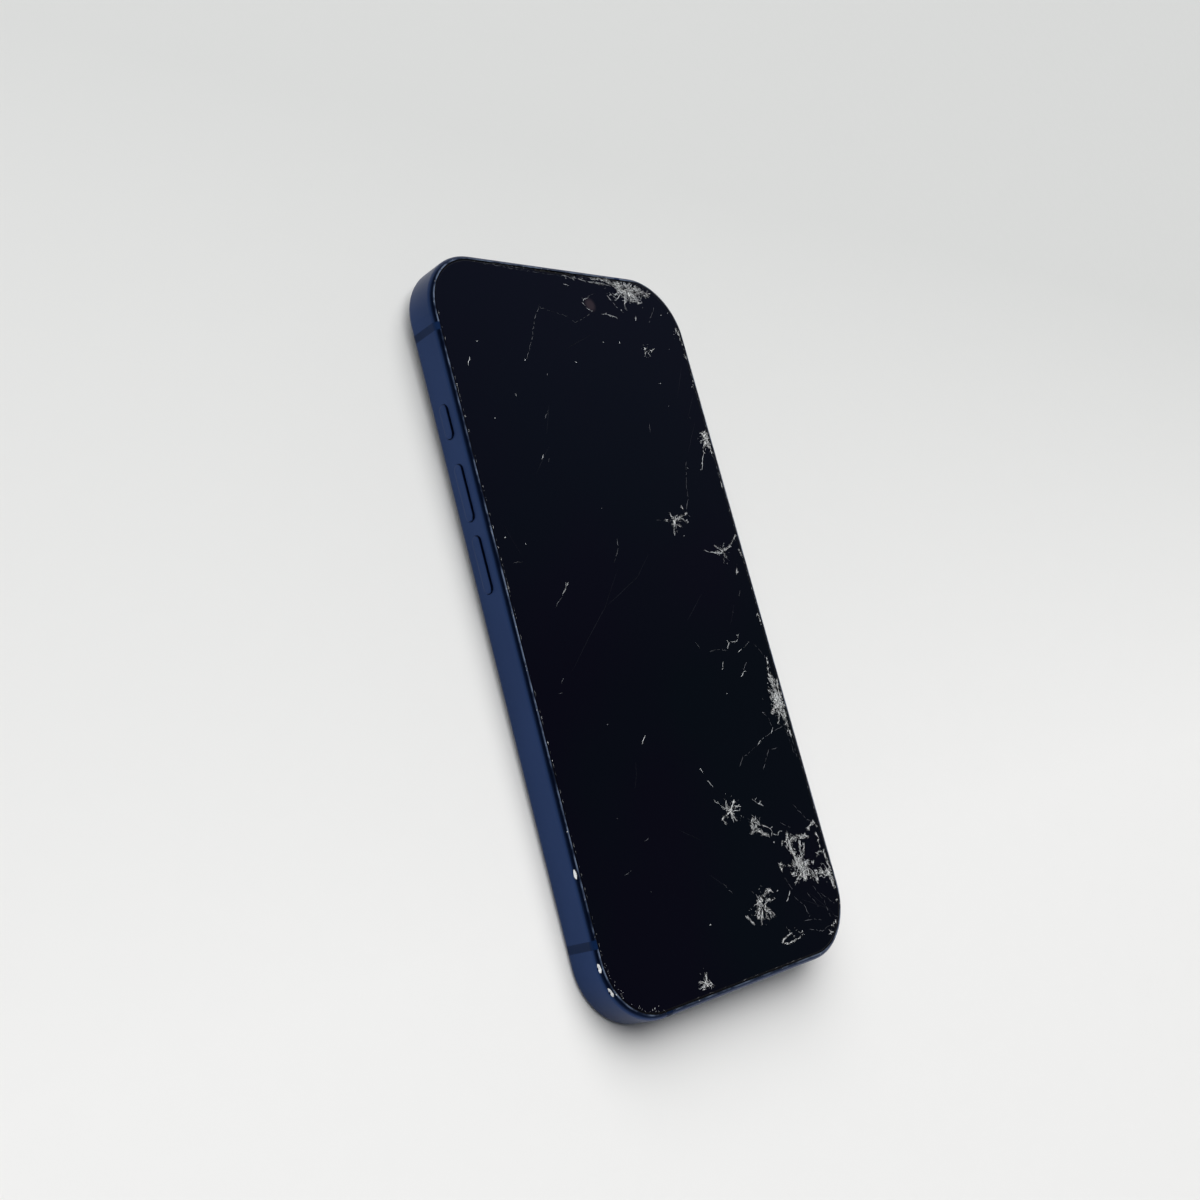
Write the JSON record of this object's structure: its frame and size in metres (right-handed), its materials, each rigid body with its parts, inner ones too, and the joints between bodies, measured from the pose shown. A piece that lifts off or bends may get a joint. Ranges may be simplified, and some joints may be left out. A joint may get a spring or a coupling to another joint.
{
  "type": "shattered screen phone",
  "caption": "Slim dark blue touch-screen phone with a shattered cover glass, sprung side buttons, a camera plateau on the back and all its inner parts.",
  "frame": {"origin": "under the middle of the phone, on the plane of the rear lens rims, which it rests on", "axes": "+X to the right facing the screen, +Y along the phone to the earpiece end, +Z out of the screen"},
  "size_m": [0.0776, 0.1598, 0.0117],
  "materials": {
    "band_metal": "satin, anodised dark blue",
    "button_metal": "satin, anodised dark blue",
    "rim_metal": "satin, anodised dark blue",
    "break_plastic": "matte blue-green plastic",
    "cover_glass": "polished, shattered, white in the crushed places",
    "display": "black, switched off",
    "black_plastic": "matte black",
    "sealant": "matte black",
    "steel_sheet": "rolled sheet",
    "fine_mesh": "fine dark weave",
    "ribbon": "amber film",
    "back_glass": "frosted dark blue, opaque",
    "lens_glass": "polished, coated",
    "flash_lens": "milky lens",
    "flash_chip": "yellow phosphor",
    "copper": "enamelled copper wire",
    "graphite_sheet": "graphite film",
    "magnet": "nickel plated",
    "battery_wrap": "black wrap",
    "circuit_board": "dark green solder mask",
    "screw_metal": "turned steel"
  },
  "bodies": {
    "phone": {"frame": "band_metal", "antenna_break_left_upper": "break_plastic", "antenna_break_left_lower": "break_plastic", "antenna_break_right_upper": "break_plastic", "antenna_break_right_lower": "break_plastic", "antenna_break_top": "break_plastic", "antenna_break_bottom": "break_plastic", "cover_glass": "cover_glass", "display_panel": "display", "display_backplate": "steel_sheet", "display_bezel": "black_plastic", "display_seal": "sealant", "display_flex": "ribbon", "earpiece_mesh": "fine_mesh", "earpiece_speaker": "black_plastic", "front_camera": "black_plastic", "face_sensor": "black_plastic", "left_switch_strip": "ribbon", "right_switch_strip": "ribbon", "dome_switches": "steel_sheet", "back_glass": "back_glass", "back_seal": "sealant", "lens_rim_upper": "rim_metal", "lens_rim_middle": "rim_metal", "lens_rim_lower": "rim_metal", "lens_cover_upper": "lens_glass", "lens_cover_middle": "lens_glass", "lens_cover_lower": "lens_glass", "rear_camera_upper": "black_plastic", "rear_camera_middle": "black_plastic", "rear_camera_lower": "black_plastic", "camera_bracket": "steel_sheet", "flash_lens": "flash_lens", "flash_led": "flash_chip", "depth_window": "lens_glass", "depth_sensor": "black_plastic", "rear_mic_mesh": "fine_mesh", "charging_coil": "copper", "coil_shield": "graphite_sheet", "magnet_ring": "magnet", "alignment_magnet": "magnet", "battery": "battery_wrap", "main_board": "circuit_board", "board_interposer": "circuit_board", "upper_board": "circuit_board", "shield_can": "steel_sheet", "processor": "black_plastic", "connector_cover": "steel_sheet", "vibration_motor": "steel_sheet", "loudspeaker": "black_plastic", "socket_shell": "steel_sheet", "socket_tongue": "black_plastic", "port_flex": "ribbon", "grille_meshes": "fine_mesh", "bottom_screws": "screw_metal", "inner_screws": "screw_metal"},
    "action_button": {"action_button": "button_metal"},
    "volume_up_button": {"volume_up_button": "button_metal"},
    "volume_down_button": {"volume_down_button": "button_metal"},
    "side_button": {"side_button": "button_metal"}
  },
  "joints": [
    {"name": "action_press", "type": "slide", "parent": "phone", "child": "action_button", "axis": [1, 0, 0], "range_m": [0, 0.0003], "stiffness_N_per_m": 200},
    {"name": "volume_up_press", "type": "slide", "parent": "phone", "child": "volume_up_button", "axis": [1, 0, 0], "range_m": [0, 0.0003], "stiffness_N_per_m": 200},
    {"name": "volume_down_press", "type": "slide", "parent": "phone", "child": "volume_down_button", "axis": [1, 0, 0], "range_m": [0, 0.0003], "stiffness_N_per_m": 200},
    {"name": "side_press", "type": "slide", "parent": "phone", "child": "side_button", "axis": [-1, 0, 0], "range_m": [0, 0.0003], "stiffness_N_per_m": 200}
  ]
}
